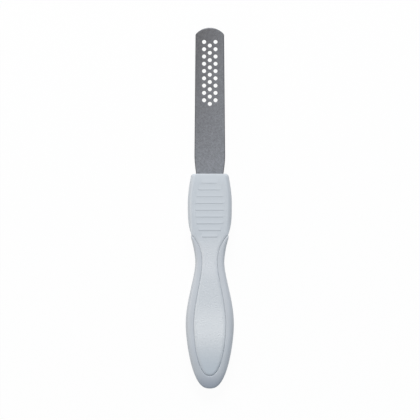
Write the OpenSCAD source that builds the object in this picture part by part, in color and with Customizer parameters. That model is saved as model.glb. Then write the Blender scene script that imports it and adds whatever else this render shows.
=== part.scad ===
// Foot file: a perforated steel blade with an abrasive coat on each face. Its tang is held
// between two hollow handle shells, and a soft rim clasps a tongue that runs round the grip.
// Millimetres. +Y runs to the blade's tip, +Z is the front, and the file lies on z = 0.
// A station is a distance from the blade's mouth towards the butt.

/* [Handle length] */
// From the blade's mouth to the notch where the rim starts
head_len = 34.2; // [30:0.2:40]
// From the notch to the waist
neck_len = 15.6; // [12:0.2:20]
// From the waist to the widest place of the grip
swell_len = 34.6; // [30:0.2:42]
// From the widest place of the grip to the butt
butt_len = 35.9; // [31:0.1:44]

/* [Handle width] */
// Over the head, at the blade's mouth
mouth_w = 20.6; // [19:0.2:23]
// Over the head, at its widest
head_w = 24.6; // [23:0.2:30]
// From the blade's mouth to the widest place of the head
head_peak = 16; // [12:0.5:24]
// Over the head, at the notch
notch_w = 20.2; // [19:0.2:23]
// Over the rim, at the waist
waist_w = 16.2; // [15.4:0.2:18.4]
// Over the rim, at the widest place of the grip
palm_w = 27; // [24:0.2:32]

/* [Handle depth] */
// Both shells, at the palm, which the file rests on
palm_d = 15; // [14.6:0.2:17]
// Both shells, at the blade's mouth
mouth_d = 14; // [12:0.2:14]
// Both shells, at the waist
waist_d = 13.8; // [11:0.2:14]
// Both shells, at the lower end of the grip panel
panel_end_d = 6.2; // [6:0.2:10]
// Length of the flat land at the palm
palm_flat = 10; // [8:0.5:18]

/* [Shells] */
// Thickness of a shell's wall
wall = 1.6; // [1.4:0.1:2]
// Radius of the head's two corners at the mouth, seen from the front
mouth_corner = 1.5; // [1:0.1:3]
// How far the head's front rolls in from its sides
head_roll = 2.6; // [1.5:0.1:3.6]
// How far the head's sides roll down from its front
head_roll_depth = 4.4; // [3:0.1:4.8]
// Radius along the edge of the grip panel
panel_edge = 0.9; // [0.4:0.1:1.1]

/* [Rim] */
// Width of the rim's face at the waist
rim_waist = 3.8; // [3.2:0.1:4]
// Width of the rim's face at the palm
rim_palm = 4.6; // [3.6:0.1:5.4]
// Width of the rim's face at the butt
rim_butt = 7.4; // [5:0.1:9]
// How far the rim's face lies below the panel
rim_step = 0.5; // [0.2:0.1:1]
// Thickness of each shell's tongue inside the rim
tongue_t = 1; // [0.8:0.1:1.2]

/* [Thumb ribs] */
// Number of ribs on each face of the head
rib_count = 9; // [5:1:9]
// Distance from rib to rib
rib_pitch = 3.77; // [3:0.05:4]
// From the blade's mouth to the middle rib
rib_centre = 20.5; // [17.5:0.1:24]
// Length of the middle rib
rib_len = 16.5; // [12:0.1:18]
// Length of the oval that the ribs' ends follow
rib_oval = 36; // [34:0.2:44]
// Radius of a rib's section
rib_r = 0.7; // [0.55:0.05:0.9]
// How far a rib stands out of the head
rib_rise = 0.2; // [0.15:0.05:0.5]

/* [Blade] */
// Length that shows, from the mouth to the tip
blade_reach = 81.7; // [70:0.1:100]
// Width at its widest, near the handle
blade_w = 17.2; // [16:0.2:19]
// Width at the shoulders of its rounded end
blade_tip_w = 16; // [13:0.2:17]
// Width where it enters the handle
blade_neck_w = 15.3; // [14:0.1:16]
// From the mouth to the widest place
blade_root = 10; // [6:0.5:14]
// Radius of the rounded end
tip_r = 10.4; // [9.6:0.1:13]
// Radius where the rounded end meets the sides
tip_corner = 1.5; // [1:0.1:2.4]
// Thickness of the steel
blade_t = 1; // [0.8:0.1:1.4]
// Length of the tang that keeps its full width
tang_len = 28; // [27:0.5:30]
// How far the narrow tail of the tang reaches past the waist
tail_reach = 10; // [6:0.5:13]

/* [Abrasive] */
// Thickness of the grit coat on a face
grit_t = 0.15; // [0.1:0.01:0.25]
// Bare steel left along the blade's edge
grit_margin = 0.4; // [0.2:0.05:0.8]
// Diameter of a perforation
hole_d = 2.3; // [1.6:0.1:2.8]
// Distance from hole to hole in a column
hole_pitch = 4.08; // [3.8:0.02:5]
// Distance from column to column
hole_gap = 3.2; // [2.8:0.02:3.4]
// Holes in a column
hole_rows = 9; // [4:1:12]
// From the tip to the first holes
hole_start = 7.9; // [7:0.1:12]

/* [Hidden] */

// Stations of the handle's landmarks
notch_at = head_len;
waist_at = notch_at + neck_len;
palm_at = waist_at + swell_len;
handle_len = palm_at + butt_len;
panel_end = handle_len - rim_butt;
mouth_y = (handle_len - blade_reach) / 2;
mid_z = palm_d / 2;

// Fits
cut = 1;               // overrun of every cut
seam = 0.15;           // gap between the panel and the rim, and round the tongue
slot_gap = 0.1;        // round the blade in its slot
post_gap = 0.05;       // round a post in its socket
hole_gap_tang = 0.1;   // round a post in the tang's hole
clamp_gap = 0.02;      // between the clamp webs and the tang

// Shape of the handle's outline, as powers of the share of the way along each stretch
mouth_power = 1.6;
shoulder_power = 3.6;
rim_neck_power = 1.7;
panel_neck_power = 2.45;
rim_swell_power = 0.84;
panel_swell_power = 0.88;
rim_butt_powers = [1.55, 2.5];
panel_butt_powers = [1.85, 2.25];

// Shells
mouth_edge = 0.4;      // rounding of the head's end face
mouth_lead = 6;        // length over which the head deepens behind the mouth
parting = 0.2;         // chamfer along the seam between the shells
roll_share = 0.8;      // most of the half width that a rolled edge may take
cavity_drop_share = 0.5;  // share of the wall by which the cavity's rolled edge is shallower
roll_blend = 9;        // length over which the head's roll tightens before the notch
end_half = 0.3;        // half the blunt end of the panel
head_d = palm_d - 2 * rib_rise;
rib_land = 1.5;        // flat kept past the outermost rib
rib_steps = 5;
roll_steps = 6;
web_t = 1.2;
head_web_first = 6;    // stations of the webs that clamp the tang
head_web_gap = 13;
grip_web_gap = 19;
post_r = 2;
post_reach = 3.4;      // from the seam into the front shell
boss_wall = 1.2;
head_post_first = 12;
head_post_gap = 13;
grip_post_gap = 23;

// Rim
lobe = 2;              // length over which the rim's upper ends round off
lobe_tip = 0.2;        // width of the rim at its very ends
rim_proud = 0.9;       // how far the rim stands out beside the notch
rim_start = notch_at + 0.1;
rim_edge = 0.4;        // radius beside the groove
rim_edge_share = 0.33; // most of the rim's width that this radius may take
rim_fall_share = 0.8;  // share of the panel's fall past the palm that the rim goes on with
tongue_root_share = 0.5;  // share of the wall that the tongue starts inside the panel's side
tongue_share = 0.45;   // share of the rim's width that the tongue fills
tongue_blend = 5;      // length over which the tongue grows from the notch
arch_steps = 6;

// Blade
shoulder_blend = 1.6;  // power of the curve from the widest place to the mouth
blade_steps = 10;
corner_steps = 4;
taper_len = 8;         // from the tang's full width to its tail
tail_gap = 0.3;        // between the tail and the cavity's side
grit_tuck = 2.5;       // length of the coat inside the mouth
grit_relief = 0.1;     // bare ring round each perforation
grit_z = blade_t / 2 + grit_t;

steel = "#6f7175";
coarse = "#85888e";
fine = "#8f9297";
shell_grey = "#c5ccd5";
rim_grey = "#bcc3cc";

// Smooth helpers
function smooth(t) = let (u = max(0, min(1, t))) u * u * (3 - 2 * u);
function mix(a, b, t) = a + (b - a) * t;
function round_in(r, t) = t >= r ? 0 : r - sqrt(max(0, r * r - pow(r - max(0, t), 2)));
function steps(a, b, n) = [for (i = [0 : n - 1]) mix(a, b, i / n)];
function crowd_start(a, b, n) = [for (i = [0 : n - 1]) mix(a, b, 1 - cos(90 * i / n))];
function crowd_end(a, b, n) = [for (i = [0 : n]) mix(a, b, sin(90 * i / n))];
function mirrored(points) = [for (i = [len(points) - 1 : -1 : 0]) [-points[i][0], points[i][1]]];
function fall(t) = t * t * (3 - t) / 2;
function quarter(t, powers) = pow(max(0, 1 - pow(max(0, min(1, t)), powers[0])), 1 / powers[1]);

// Half the width of the head and panel at station s. A grow below zero gives the cavity.
function core_half(s, grow = 0) =
    s < head_peak
        ? head_w / 2 + grow - (head_w - mouth_w) / 2 * pow((head_peak - s) / head_peak, mouth_power)
    : s < notch_at
        ? head_w / 2 + grow
          - (head_w - notch_w) / 2 * pow((s - head_peak) / (notch_at - head_peak), shoulder_power)
    : s < waist_at
        ? mix(waist_w / 2 - rim_waist, notch_w / 2, pow((waist_at - s) / neck_len, panel_neck_power)) + grow
    : s < palm_at
        ? mix(waist_w / 2 - rim_waist, palm_w / 2 - rim_palm,
              smooth(pow((s - waist_at) / swell_len, panel_swell_power))) + grow
    : (palm_w / 2 - rim_palm + grow)
          * quarter((s - palm_at) / (panel_end + grow - palm_at), panel_butt_powers);

// Half the width over the rim at station s, from the notch to the butt
function outer_half(s) =
    s < waist_at
        ? mix(waist_w / 2, notch_w / 2 + rim_proud, pow((waist_at - s) / neck_len, rim_neck_power))
    : s < palm_at
        ? mix(waist_w / 2, palm_w / 2, smooth(pow((s - waist_at) / swell_len, rim_swell_power)))
    : palm_w / 2 * quarter((s - palm_at) / butt_len, rim_butt_powers);

// Half the depth of the head and panel at station s
head_flat_end = rib_centre + (rib_count - 1) / 2 * rib_pitch + rib_land;
palm_flat_start = palm_at - palm_flat / 2;
palm_flat_end = palm_at + palm_flat / 2;
function core_depth(s) =
    s < mouth_lead ? mix(head_d, mouth_d, pow((mouth_lead - s) / mouth_lead, 2)) / 2
    : s < head_flat_end ? head_d / 2
    : s < waist_at ? mix(head_d, waist_d, smooth((s - head_flat_end) / (waist_at - head_flat_end))) / 2
    : s < palm_flat_start ? mix(waist_d, palm_d, smooth((s - waist_at) / (palm_flat_start - waist_at))) / 2
    : s < palm_flat_end ? palm_d / 2
    : mix(palm_d, panel_end_d, fall((s - palm_flat_end) / (panel_end - palm_flat_end))) / 2;

// How far the head's soft shoulders have turned into the panel's crisp edge at station s
function crispness(s) = smooth((s - (notch_at - roll_blend)) / roll_blend);

// One cross-section of a shell at station s: from the seam on the right, up, over and down
function section(half, depth, roll, drop, chamfer, s) =
    let (right = concat(
            [[half - chamfer, 0], [half, chamfer]],
            [for (i = [0 : roll_steps]) let (a = 90 * i / roll_steps)
                [half - roll * (1 - cos(a)), depth - drop * (1 - sin(a))]]))
    [for (p = concat(right, mirrored(right))) [p[0], mouth_y - s, p[1]]];

function core_section(s) =
    let (half = max(end_half, core_half(s) - round_in(mouth_corner, s)),
         depth = core_depth(s) - round_in(mouth_edge, s) - round_in(panel_edge, panel_end - s))
    section(half, depth,
            min(mix(head_roll, panel_edge, crispness(s)), half * roll_share),
            mix(head_roll_depth, panel_edge, crispness(s)), min(parting, half / 2), s);

function cavity_section(s) =
    let (half = max(end_half, core_half(s, -wall)),
         depth = core_depth(s) - wall,
         roll = max(panel_edge / 2, mix(head_roll, panel_edge, crispness(s)) - wall),
         outer_drop = mix(head_roll_depth, panel_edge, crispness(s)),
         drop = max(panel_edge / 2, outer_drop - wall * cavity_drop_share))
    [for (p = section(half, depth + cut, min(roll, half * roll_share), drop, min(parting, half / 2), s))
        [p[0], p[1], p[2] - cut]];

// The outer and inner edge of the rim's face at station s, seen from the front
function rim_outer(s) = [outer_half(s), s];
function rim_inner(s) =
    let (t = s < palm_at ? s : palm_at + (s - palm_at) * (panel_end + seam - palm_at) / butt_len)
    [core_half(t, seam), t];
function lobe_share(s) =
    let (t = (s - rim_start) / lobe) t >= 1 ? 1 : sqrt(max(0, 1 - pow(1 - t, 2)));
function rim_edge_pair(s) =
    let (inner = rim_inner(s), outer = rim_outer(s), share = lobe_share(s))
    [inner, [mix(inner[0] + lobe_tip, outer[0], share), mix(inner[1], outer[1], share)]];

// The edge of the tongue at station s, a gap short of the groove's floor, seen from the front
function tongue_edge(s, gap) =
    let (pair = rim_edge_pair(s), span = norm(pair[1] - pair[0]), way = (pair[1] - pair[0]) / span)
    pair[0] + way * (mix(-wall * tongue_root_share, tongue_share * span,
                         smooth((s - rim_start) / tongue_blend)) - gap);

// Height of the rim's face at a place that lies way beside the station s of its inner edge
function rim_top(s, way) = mix(core_depth(s), core_depth(s + way), rim_fall_share) - rim_step;

// One cross-section of the rim at station s, before its groove is cut: over the outside and back
function rim_section(s, side) =
    let (pair = rim_edge_pair(s),
         span = norm(pair[1] - pair[0]),
         way = (pair[1] - pair[0]) / span,
         top = rim_top(pair[0][1], 0),
         edge = min(rim_edge, span * rim_edge_share),
         upper = concat(
            [for (i = [0 : arch_steps])
                let (a = 90 * i / arch_steps, out = edge + (span - edge) * cos(a))
                [out, rim_top(pair[0][1], way[1] * out) * sin(a)]],
            [[edge * (1 - sin(45)), top - edge * (1 - cos(45))], [0, top - edge]]),
         lower = [for (i = [len(upper) - 1 : -1 : 1]) [upper[i][0], -upper[i][1]]])
    [for (p = concat(upper, lower))
        [side * (pair[0][0] + way[0] * p[0]), mouth_y - (pair[0][1] + way[1] * p[0]), p[1]]];

// The circles that round the blade's two shoulders lie inside the tip's own circle and touch it
corner_x = blade_tip_w / 2 - tip_corner;
corner_rise = sqrt(pow(tip_r - tip_corner, 2) - pow(corner_x, 2));
tip_shoulder = blade_reach - tip_r + corner_rise;

// Half the width of the blade's visible part at distance t ahead of the mouth
function blade_half(t) =
    t < blade_root
        ? mix(blade_w, blade_neck_w, pow((blade_root - t) / blade_root, shoulder_blend)) / 2
        : mix(blade_w, blade_tip_w, (t - blade_root) / (tip_shoulder - blade_root)) / 2;

core_stations = concat(
    crowd_start(0, mouth_corner, 5), steps(mouth_corner, notch_at, 13), steps(notch_at, waist_at, 9),
    steps(waist_at, palm_at, 13), crowd_end(palm_at, panel_end, 14));
cavity_stations = concat(
    steps(wall, notch_at, 7), steps(notch_at, waist_at, 6),
    steps(waist_at, palm_at, 7), crowd_end(palm_at, panel_end - wall, 8));
rim_stations = concat(
    crowd_start(rim_start, rim_start + lobe, 4), steps(rim_start + lobe, waist_at, 8),
    steps(waist_at, palm_at, 13), crowd_end(palm_at, handle_len, 15));

// A closed skin over a list of rings that have the same number of points
module loft(rings) {
    n = len(rings[0]);
    m = len(rings);
    sides = [for (i = [0 : m - 2], j = [0 : n - 1])
        let (a = i * n + j, b = i * n + (j + 1) % n)
        each [[a, b + n, b], [a, a + n, b + n]]];
    polyhedron([for (ring = rings) each ring],
               concat([[for (j = [0 : n - 1]) j]], sides, [[for (j = [n - 1 : -1 : 0]) (m - 1) * n + j]]));
}

// Puts its children at a station of the handle, on the middle plane
module at_station(s) {
    translate([0, mouth_y - s, 0])
        children();
}

// Places of the posts that join the shells: those through the tang, and those in the grip
head_posts = [head_post_first, head_post_first + head_post_gap];
grip_posts = [palm_at - grip_post_gap / 2, palm_at + grip_post_gap / 2];

// The outline of the plate that each shell reaches into the rim
module tongue_outline(gap) {
    edge = [for (s = rim_stations) tongue_edge(s, gap)];
    half = [for (i = [0 : len(edge) - 2]) edge[i]];
    polygon([for (p = concat(half, [edge[len(edge) - 1]], mirrored(half))) [p[0], mouth_y - p[1]]]);
}

// The webs and bosses that are left standing in a shell's cavity
module inner_walls() {
    for (i = [0 : 2])
        at_station(head_web_first + i * head_web_gap)
            translate([-head_w / 2, -web_t / 2, blade_t / 2 + clamp_gap])
                cube([head_w, web_t, head_d / 2]);
    for (i = [-1 : 1])
        at_station(palm_at + i * grip_web_gap)
            translate([-palm_w / 2, -web_t / 2, 0])
                cube([palm_w, web_t, palm_d / 2]);
    for (s = head_posts)
        at_station(s)
            translate([0, 0, blade_t / 2 + clamp_gap])
                cylinder(r = post_r + boss_wall, h = head_d / 2, $fn = 48);
    for (s = grip_posts)
        at_station(s)
            cylinder(r = post_r + boss_wall, h = palm_d / 2, $fn = 48);
}

// The slot that the blade leaves the head by
module blade_slot() {
    half = blade_neck_w / 2 + slot_gap;
    translate([-half, mouth_y - wall - cut, -cut])
        cube([2 * half, wall + 2 * cut, cut + grit_z + slot_gap]);
}

// One rounded bar across the head, sunk so that its crest stands out by rib_rise
module thumb_rib(s) {
    t = (s - rib_centre) / (rib_oval / 2);
    half = rib_len / 2 * sqrt(1 - t * t) - rib_r;
    end = [for (i = [0 : rib_steps]) let (a = 90 * i / rib_steps)
        [rib_r * cos(a), half + rib_r * sin(a)]];
    at_station(s)
        translate([0, 0, core_depth(s) + rib_rise - rib_r])
            rotate([0, 90, 0])
                rotate_extrude($fn = 32)
                    polygon(concat(end, [for (i = [rib_steps : -1 : 0]) [end[i][0], -end[i][1]]]));
}

// A shell above the middle plane, open towards it
module shell() {
    difference() {
        union() {
            loft([for (s = core_stations) core_section(s)]);
            linear_extrude(height = tongue_t)
                tongue_outline(seam);
        }
        difference() {
            loft([for (s = cavity_stations) cavity_section(s)]);
            inner_walls();
        }
        blade_slot();
    }
    for (i = [0 : rib_count - 1])
        thumb_rib(rib_centre + (i - (rib_count - 1) / 2) * rib_pitch);
}

module front_shell() {
    color(shell_grey)
        translate([0, 0, mid_z])
            difference() {
                shell();
                for (s = concat(head_posts, grip_posts))
                    at_station(s)
                        translate([0, 0, -cut])
                            cylinder(r = post_r + post_gap, h = post_reach + post_gap + cut, $fn = 48);
            }
}

module rear_shell() {
    color(shell_grey)
        translate([0, 0, mid_z]) {
            mirror([0, 0, 1])
                shell();
            for (s = concat(head_posts, grip_posts))
                at_station(s)
                    translate([0, 0, -post_reach])
                        cylinder(r = post_r, h = 2 * post_reach, $fn = 48);
        }
}

module grip_rim() {
    last = len(rim_stations) - 1;
    right = [for (s = rim_stations) rim_section(s, 1)];
    left = [for (i = [last - 1 : -1 : 0]) rim_section(rim_stations[i], -1)];
    groove = 2 * (tongue_t + seam);
    color(rim_grey)
        translate([0, 0, mid_z])
            difference() {
                loft(concat(right, left));
                linear_extrude(height = groove, center = true)
                    tongue_outline(0);
            }
}

// The blade's outline ahead of the mouth, drawn in by an inset, as points on the right side
function blade_side(inset) =
    let (tip_centre = mouth_y + blade_reach - tip_r,
         shoulder_r = tip_corner - inset,
         end_r = tip_r - inset,
         meet = atan2(corner_rise, corner_x))
    concat(
        [for (t = steps(0, blade_root, blade_steps)) [blade_half(t) - inset, mouth_y + t]],
        [for (t = [blade_root, (blade_root + tip_shoulder) / 2]) [blade_half(t) - inset, mouth_y + t]],
        [for (a = steps(0, meet, corner_steps))
            [corner_x + shoulder_r * cos(a), tip_centre + corner_rise + shoulder_r * sin(a)]],
        [for (i = [0 : blade_steps]) let (a = mix(meet, 90, i / blade_steps))
            [end_r * cos(a), tip_centre + end_r * sin(a)]]);

// The tang's outline behind the mouth, from its tail's end up to the mouth, on the right side
tail_half = waist_w / 2 - rim_waist - wall - tail_gap;
tail_end = waist_at + tail_reach;
function tang_side() =
    concat(
        [for (i = [0 : blade_steps]) let (a = 90 * i / blade_steps)
            [tail_half * sin(a), mouth_y - tail_end + tail_half * (1 - cos(a))]],
        [[tail_half, mouth_y - tang_len - taper_len], [blade_neck_w / 2, mouth_y - tang_len]]);

module perforations(r) {
    tip_y = mouth_y + blade_reach;
    for (i = [0 : hole_rows - 1], column = [-1 : 1])
        translate([column * hole_gap,
                   tip_y - hole_start - (i + (column == 0 ? 0.5 : 0)) * hole_pitch, -cut])
            cylinder(r = r, h = 2 * cut + blade_t + grit_z, $fn = 32);
}

module blade() {
    side = concat(tang_side(), blade_side(0));
    color(steel)
        translate([0, 0, mid_z - blade_t / 2])
            difference() {
                linear_extrude(height = blade_t)
                    polygon(concat(side, mirrored(side)));
                perforations(hole_d / 2);
                for (s = head_posts)
                    at_station(s)
                        translate([0, 0, -cut])
                            cylinder(r = post_r + hole_gap_tang, h = blade_t + 2 * cut, $fn = 48);
            }
}

// The grit coat on one face, bare at the blade's edge and round each perforation
module grit_coat() {
    side = concat([[blade_neck_w / 2 - grit_margin, mouth_y - grit_tuck]], blade_side(grit_margin));
    difference() {
        linear_extrude(height = grit_t)
            polygon(concat(side, mirrored(side)));
        perforations(hole_d / 2 + grit_relief);
    }
}

module coarse_face() {
    color(coarse)
        translate([0, 0, mid_z + blade_t / 2])
            grit_coat();
}

module fine_face() {
    color(fine)
        translate([0, 0, mid_z - blade_t / 2 - grit_t])
            grit_coat();
}

blade();
coarse_face();
fine_face();
front_shell();
rear_shell();
grip_rim();
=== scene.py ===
# %% [markdown]
# # Foot file
#
# A foot file rubs hard skin off a heel. This one is a steel strip with a coat of mineral grains on
# each face, held in a waisted plastic handle. The handle is two hollow shells, and a soft rim is
# moulded round the edge of the grip. Dust falls through 27 holes near the strip's tip.
#
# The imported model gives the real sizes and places. Each visible piece is made again here from the
# same rules, on a much finer grid, with the fillets, grains and finishes that a construction model
# leaves out.

import bmesh
import bpy
import numpy as np
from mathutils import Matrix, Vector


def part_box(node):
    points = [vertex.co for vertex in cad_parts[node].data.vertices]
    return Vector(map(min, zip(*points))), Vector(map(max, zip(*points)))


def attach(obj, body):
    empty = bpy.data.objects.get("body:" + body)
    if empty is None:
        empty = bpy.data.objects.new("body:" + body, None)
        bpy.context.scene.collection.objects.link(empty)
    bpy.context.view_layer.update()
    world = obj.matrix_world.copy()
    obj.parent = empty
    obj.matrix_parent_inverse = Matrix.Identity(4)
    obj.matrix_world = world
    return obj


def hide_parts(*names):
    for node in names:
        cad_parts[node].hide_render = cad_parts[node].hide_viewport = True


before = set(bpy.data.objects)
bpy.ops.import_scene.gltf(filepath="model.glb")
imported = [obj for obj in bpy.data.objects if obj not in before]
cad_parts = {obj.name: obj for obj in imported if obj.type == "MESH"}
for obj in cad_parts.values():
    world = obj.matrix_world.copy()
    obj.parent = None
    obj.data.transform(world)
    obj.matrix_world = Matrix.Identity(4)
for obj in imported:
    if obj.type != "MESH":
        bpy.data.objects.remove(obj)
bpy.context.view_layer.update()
MM = 0.001


def node_box(name):
    """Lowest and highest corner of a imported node, in millimetres."""
    low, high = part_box(name)
    return np.array(low) / MM, np.array(high) / MM


print("nodes:", sorted(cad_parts))

# %% [markdown]
# ## Sizes
#
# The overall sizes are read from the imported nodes, so the skins made here can't drift away from
# them. The rest are the handle's own measures. A station is a distance from the blade's mouth
# towards the butt, in millimetres, which is how a maker would lay out a handle on the bench.

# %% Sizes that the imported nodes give
shell_low, shell_high = node_box("front_shell")
rim_low, rim_high = node_box("grip_rim")
blade_low, blade_high = node_box("blade")
coat_low, coat_high = node_box("coarse_face")

MOUTH_Y = shell_high[1]
BUTT_Y = rim_low[1]
TIP_Y = blade_high[1]
MID_Z = (rim_low[2] + rim_high[2]) / 2
HEAD_W = shell_high[0] - shell_low[0]
PALM_W = rim_high[0] - rim_low[0]
PALM_D = 2 * (shell_high[2] - MID_Z)
BLADE_W = blade_high[0] - blade_low[0]
BLADE_T = blade_high[2] - blade_low[2]
COAT_T = coat_high[2] - coat_low[2]
print(f"handle {MOUTH_Y - BUTT_Y:.1f} mm, blade {TIP_Y - MOUTH_Y:.1f} mm, depth {PALM_D:.1f} mm")

# %% Stations along the handle, and its widths and depths
HEAD_PEAK = 16
NOTCH_AT = 34.2
WAIST_AT = 49.8
PALM_AT = 84.4
BUTT_AT = MOUTH_Y - BUTT_Y
RIM_BUTT = 7.4
PANEL_END = BUTT_AT - RIM_BUTT

# W is a width and D a depth. RIM_WAIST and RIM_PALM are how wide the rim itself is there
MOUTH_W = 20.6
NOTCH_W = 20.2
WAIST_W = 16.2
RIM_WAIST = 3.8
RIM_PALM = 4.6
RIB_RISE = 0.2
HEAD_D = PALM_D - 2 * RIB_RISE
MOUTH_D = 14
WAIST_D = 13.8
PANEL_END_D = 6.2
PALM_FLAT = 10

# %% [markdown]
# ## The handle's outline
#
# Seen from the front the handle swells, narrows to a waist and swells again. A spline through
# measured points would do, but each stretch here is one power curve between two widths. So the
# sizes can be put against the photograph, and a power says how full the curve between them is.

# %% Helpers for curves
def mix(a, b, t):
    """The value a share t of the way from a to b."""
    return a + (b - a) * t


def progress(s, start, end):
    """The share of the way that s has gone: 0 at the start and 1 at the end."""
    return (s - start) / (end - start)


def smooth(t):
    """Eases from 0 to 1 with level ends: 3 t squared less 2 t cubed."""
    t = np.clip(t, 0, 1)
    return t * t * (3 - 2 * t)


def power(t, exponent):
    """t to a power, with t kept between 0 and 1."""
    return np.clip(t, 0, 1) ** exponent


def quarter(t, start_power, end_power):
    """A quarter of a superellipse, from 1 at t = 0 to 0 at t = 1: the root of 1 less a power of t."""
    return np.clip(1 - power(t, start_power), 0, 1) ** (1 / end_power)


def round_in(radius, distance):
    """How far an edge rounded by a quarter circle has drawn in, at a distance from the edge's end."""
    distance = np.clip(distance, 0, radius)
    return radius - np.sqrt(radius**2 - (radius - distance) ** 2)


def quarter_turn(count):
    """Even angles through a quarter turn. Their sines crowd towards 1, and 1 less the cosines towards 0."""
    return np.radians(np.linspace(0, 90, count))


# %% Half the width of the head and grip panel
MOUTH_POWER = 1.6
SHOULDER_POWER = 3.6
PANEL_NECK_POWER = 2.45
PANEL_SWELL_POWER = 0.88
PANEL_BUTT_POWERS = (1.85, 2.25)


def core_half(s, grow=0.0):
    """Mouth to head, head to notch, notch to waist and waist to palm, each along a power of the way, with
    the swell to the palm eased as well. Then an oval closes the panel's end."""
    to_head = mix(HEAD_W, MOUTH_W, power(progress(s, HEAD_PEAK, 0), MOUTH_POWER)) / 2
    to_notch = mix(HEAD_W, NOTCH_W, power(progress(s, HEAD_PEAK, NOTCH_AT), SHOULDER_POWER)) / 2
    neck, palm = WAIST_W / 2 - RIM_WAIST, PALM_W / 2 - RIM_PALM
    to_waist = mix(neck, NOTCH_W / 2, power(progress(s, WAIST_AT, NOTCH_AT), PANEL_NECK_POWER))
    to_palm = mix(neck, palm, smooth(power(progress(s, WAIST_AT, PALM_AT), PANEL_SWELL_POWER)))
    oval = (palm + grow) * quarter(progress(s, PALM_AT, PANEL_END + grow), *PANEL_BUTT_POWERS)
    stretches = [s < HEAD_PEAK, s < NOTCH_AT, s < WAIST_AT, s < PALM_AT]
    halves = [to_head + grow, to_notch + grow, to_waist + grow, to_palm + grow]
    return np.select(stretches, halves, oval)


# %% Half the width over the rim
RIM_PROUD = 0.9
RIM_NECK_POWER = 1.7
RIM_SWELL_POWER = 0.84
RIM_BUTT_POWERS = (1.55, 2.5)


def rim_half(s):
    """Notch to waist and waist to palm by such curves too, then the butt's oval, fuller than the panel's."""
    neck = power(progress(s, WAIST_AT, NOTCH_AT), RIM_NECK_POWER)
    swell = smooth(power(progress(s, WAIST_AT, PALM_AT), RIM_SWELL_POWER))
    to_waist = mix(WAIST_W / 2, NOTCH_W / 2 + RIM_PROUD, neck)
    to_palm = mix(WAIST_W / 2, PALM_W / 2, swell)
    oval = PALM_W / 2 * quarter(progress(s, PALM_AT, BUTT_AT), *RIM_BUTT_POWERS)
    return np.select([s < WAIST_AT, s < PALM_AT], [to_waist, to_palm], oval)


waist_and_palm = np.array([WAIST_AT, PALM_AT])
print("half widths at waist and palm:", core_half(waist_and_palm), "with the rim", rim_half(waist_and_palm))

# %% Half the depth of the head and grip panel
MOUTH_LEAD = 6
RIB_COUNT = 9
RIB_PITCH = 3.77
RIB_CENTRE = 20.5
RIB_LAND = 1.5
RIB_STATIONS = RIB_CENTRE + (np.arange(RIB_COUNT) - (RIB_COUNT - 1) / 2) * RIB_PITCH
HEAD_FLAT_END = RIB_STATIONS[-1] + RIB_LAND
PALM_FLAT_START = PALM_AT - PALM_FLAT / 2
PALM_FLAT_END = PALM_AT + PALM_FLAT / 2


def core_depth(s):
    """Deepens behind the mouth along a parabola, is level under the ribs, eases down to the waist and up to
    a level palm, and falls away as a bent bar does: half of 3 p squared less p cubed, for a share p of the
    way to the panel's end."""
    lead = mix(HEAD_D, MOUTH_D, power(progress(s, MOUTH_LEAD, 0), 2))
    dip = mix(HEAD_D, WAIST_D, smooth(progress(s, HEAD_FLAT_END, WAIST_AT)))
    rise = mix(WAIST_D, PALM_D, smooth(progress(s, WAIST_AT, PALM_FLAT_START)))
    past = np.clip(progress(s, PALM_FLAT_END, PANEL_END), 0, None)
    fall = mix(PALM_D, PANEL_END_D, past * past * (3 - past) / 2)
    return np.select([s < MOUTH_LEAD, s < WAIST_AT, s < PALM_FLAT_START], [lead, dip, rise], fall) / 2


print("half depths along the handle:", core_depth(np.array([0, RIB_CENTRE, WAIST_AT, PALM_AT, PANEL_END])))

# %% The rim's two edges
WALL = 1.6
SEAM = 0.012
# A lobe begins a gap past the notch and widens over its own length
LOBE = 2
LOBE_TIP = 0.2
LOBE_GAP = 0.1
RIM_START = NOTCH_AT + LOBE_GAP
# The rim lies a step below the panel, and its inner edge is rounded
RIM_STEP = 0.35
RIM_EDGE = 0.38
# The tongue of each shell: its thickness, its share of the rim's width and the length that it grows over
TONGUE_T = 1
TONGUE_SHARE = 0.45
TONGUE_BLEND = 5


def moved_end(s, end, new_end):
    """Stations past the palm, spread or bunched up evenly so that one end lands on another."""
    return np.where(s < PALM_AT, s, PALM_AT + (s - PALM_AT) * (new_end - PALM_AT) / (end - PALM_AT))


def rim_lines(s):
    """The inner edge follows the panel with a seam's gap. Past the palm its stations bunch up, because the
    panel ends before the rim does. At the lobes the outer edge swings in to the inner one along a quarter
    circle, and the last value says how far out it is, from 0 to 1."""
    t = moved_end(s, BUTT_AT, PANEL_END + SEAM)
    inner = np.stack([core_half(t, SEAM), t], axis=-1)
    outer = np.stack([rim_half(s), s], axis=-1)
    swing = np.sqrt(np.clip(1 - np.clip(1 - (s - RIM_START) / LOBE, 0, 1) ** 2, 0, 1))
    return inner, mix(inner + [LOBE_TIP, 0], outer, swing[:, None]), swing


def groove_floor(s, span):
    """How deep the groove for the tongue goes into the rim. It starts inside the panel's side at the notch
    and eases out to a share of the rim's width."""
    return mix(-WALL / 2, TONGUE_SHARE * span, smooth((s - RIM_START) / TONGUE_BLEND))


# %% [markdown]
# ## Turning grids of points into pieces
#
# Each surface is a grid of points worked out in one go. One function lists the faces between
# neighbouring points. Another zips up an edge that comes back beside itself, which closes the
# ends of a loft without a pole of needle faces. Blender could skin a row of curves too, but a
# plain grid says where every point is.

# %% Faces for grids
def point_numbers(grid):
    """The number of each point of a grid, laid out as the grid is."""
    return np.arange(grid.shape[0] * grid.shape[1]).reshape(grid.shape[:2])


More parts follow.
